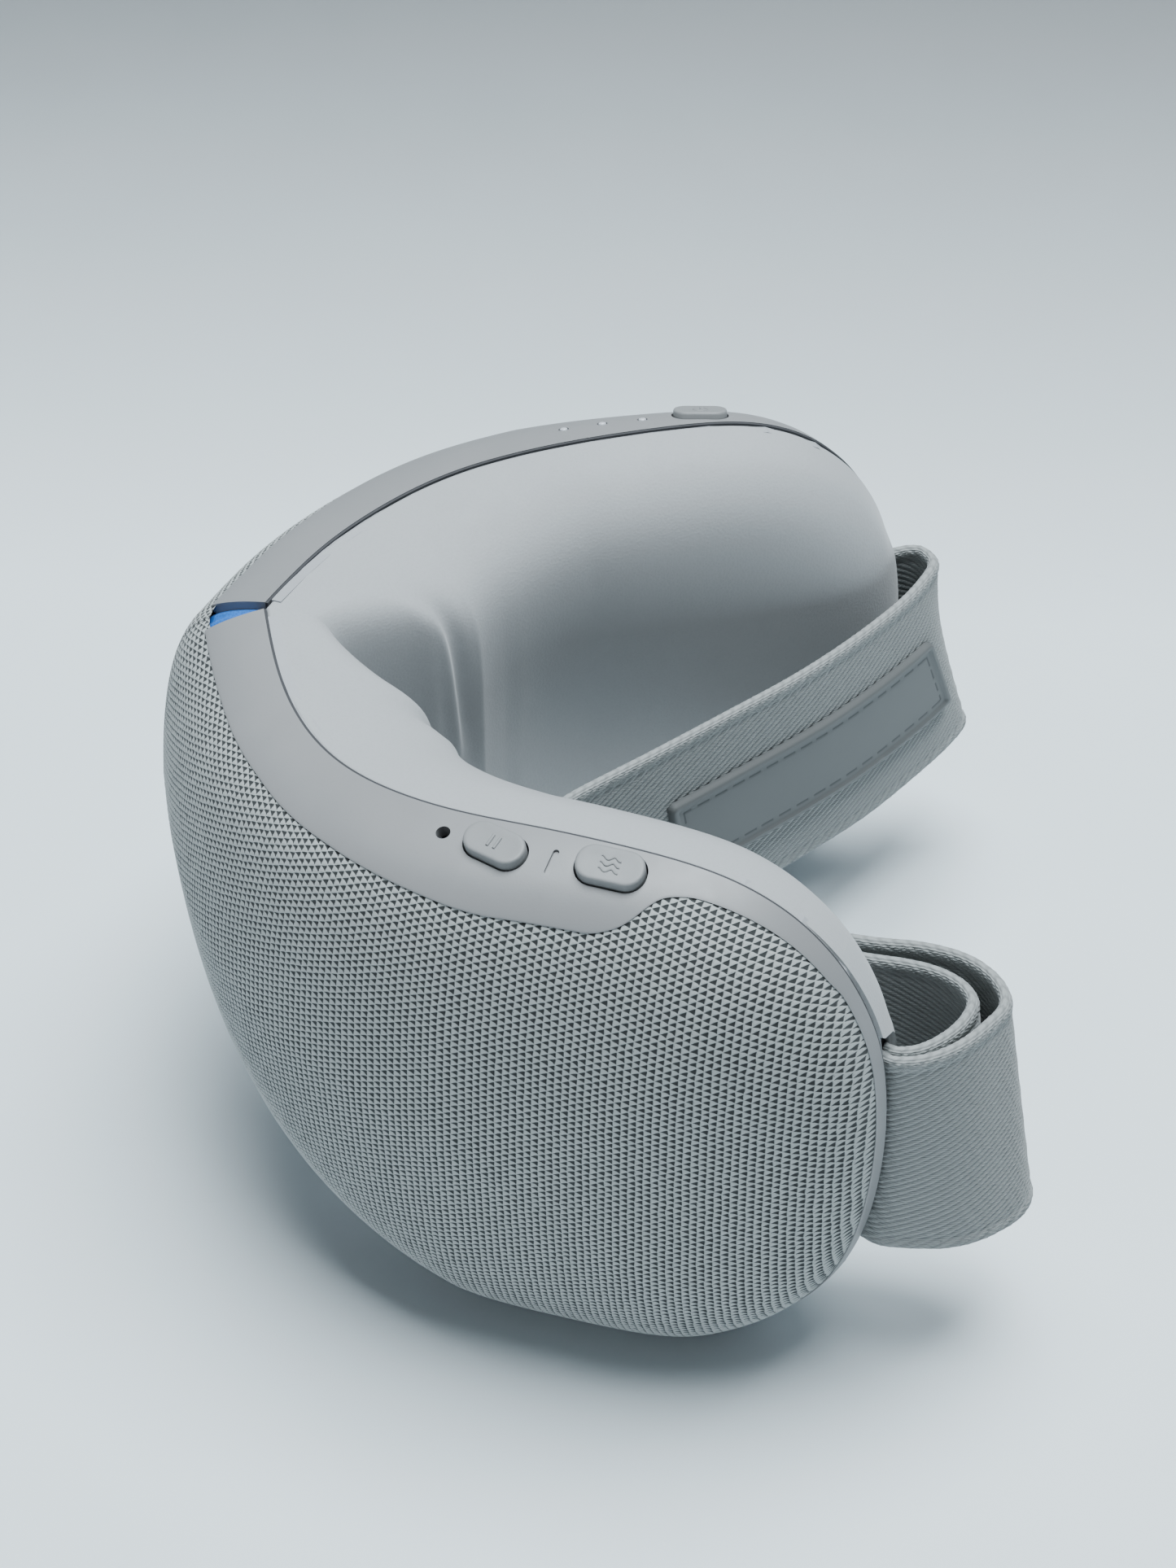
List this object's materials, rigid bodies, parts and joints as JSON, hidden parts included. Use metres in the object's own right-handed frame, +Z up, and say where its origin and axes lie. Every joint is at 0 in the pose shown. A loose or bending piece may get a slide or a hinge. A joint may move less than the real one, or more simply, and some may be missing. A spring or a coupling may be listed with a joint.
{
  "type": "eye massager mask",
  "caption": "Foldable wrap-around eye massager mask with padded halves, knit front, top buttons and an elastic rear strap.",
  "frame": {"origin": "middle of the bounding box's base, on the surface that the part stands on", "axes": "+Z up along the fold hinge, +Y from the front covers towards the wearer's face, +X towards the wearer's left"},
  "size_m": [0.1406, 0.134, 0.0938],
  "materials": {
    "knit": "open knit mesh",
    "band": "fine satin",
    "shell": "moulded",
    "cover": "soft coated cloth over foam",
    "foam": "closed cell foam",
    "button": "soft touch",
    "blue": "matte",
    "webbing": "elastic twill webbing",
    "silicone": "matte silicone",
    "dark": "gloss",
    "steel": "brushed",
    "brass": "turned",
    "board": "solder mask",
    "cell": "foil pouch",
    "lens": "clear",
    "clear": "translucent",
    "film": "polyimide film"
  },
  "bodies": {
    "left_half": {"airbag_left": "clear", "back_plate_left": "shell", "charging_socket": "steel", "control_chip": "dark", "cushion_left": "cover", "frame_left": "band", "front_shell_left": "shell", "gusset_cap": "blue", "gusset_web": "blue", "heating_film_left": "film", "hinge_leaf_left": "steel", "hinge_pin": "steel", "hinge_wall_left": "shell", "knit_cover_left": "knit", "left_vibration_can": "steel", "main_board": "board", "pad_rim_left": "foam", "pause_board": "board", "pause_switch": "steel", "pump_diaphragm": "clear", "pump_head": "shell", "pump_motor": "steel", "sensor_window": "dark", "strap_band": "webbing", "strap_bar_left": "steel", "strap_tail": "webbing", "wave_board": "board", "wave_switch": "steel"},
    "right_half": {"airbag_right": "clear", "back_plate_right": "shell", "battery": "cell", "cushion_right": "cover", "frame_right": "band", "front_shell_right": "shell", "heating_film_right": "film", "hinge_leaf_right": "steel", "hinge_wall_right": "shell", "knit_cover_right": "knit", "label_patch": "silicone", "light_guide_1": "lens", "light_guide_2": "lens", "light_guide_3": "lens", "pad_rim_right": "foam", "power_board": "board", "power_switch": "steel", "right_vibration_can": "steel", "strap_bar_right": "steel", "valve_coil": "brass", "valve_seat": "shell"},
    "left_shaker": {"left_vibration_weight": "brass"},
    "pause_key": {"pause_button": "button"},
    "power_key": {"power_button": "button"},
    "pump_eccentric": {"pump_crank": "brass"},
    "right_shaker": {"right_vibration_weight": "brass"},
    "valve_core": {"valve_plunger": "steel"},
    "wave_key": {"wave_button": "button"}
  },
  "joints": [
    {"name": "fold", "type": "hinge", "parent": "left_half", "child": "right_half", "pos_m": [0, -0.05335, 0], "axis": [0, 0, 1], "range_deg": [-20, 28], "deforming": ["strap_band", "gusset_cap", "gusset_web", "strap_tail", "label_patch"]},
    {"name": "pause_press", "type": "slide", "parent": "left_half", "child": "pause_key", "axis": [-0.2965, 0.1183, -0.9477], "range_m": [0, 0.0006], "stiffness_N_per_m": 600, "springref_m": -0.001},
    {"name": "wave_press", "type": "slide", "parent": "left_half", "child": "wave_key", "axis": [-0.3472, 0.0751, -0.9348], "range_m": [0, 0.0006], "stiffness_N_per_m": 600, "springref_m": -0.001},
    {"name": "power_press", "type": "slide", "parent": "right_half", "child": "power_key", "axis": [0.3806, 0.0031, -0.9247], "range_m": [0, 0.0006], "stiffness_N_per_m": 600, "springref_m": -0.001},
    {"name": "pump_turn", "type": "hinge", "parent": "left_half", "child": "pump_eccentric", "pos_m": [0.05749, 0.00506, 0.064], "axis": [0.2756, 0.9613, 0], "continuous": true},
    {"name": "left_shake", "type": "hinge", "parent": "left_half", "child": "left_shaker", "pos_m": [0.04317, -0.0311, 0.045], "axis": [0, 0, 1], "continuous": true},
    {"name": "right_shake", "type": "hinge", "parent": "right_half", "child": "right_shaker", "pos_m": [-0.04317, -0.0311, 0.045], "axis": [0, 0, -1], "continuous": true},
    {"name": "valve_stroke", "type": "slide", "parent": "right_half", "child": "valve_core", "axis": [-0.2756, 0.9613, 0], "range_m": [0, 0.001], "stiffness_N_per_m": 200, "springref_m": -0.001}
  ]
}
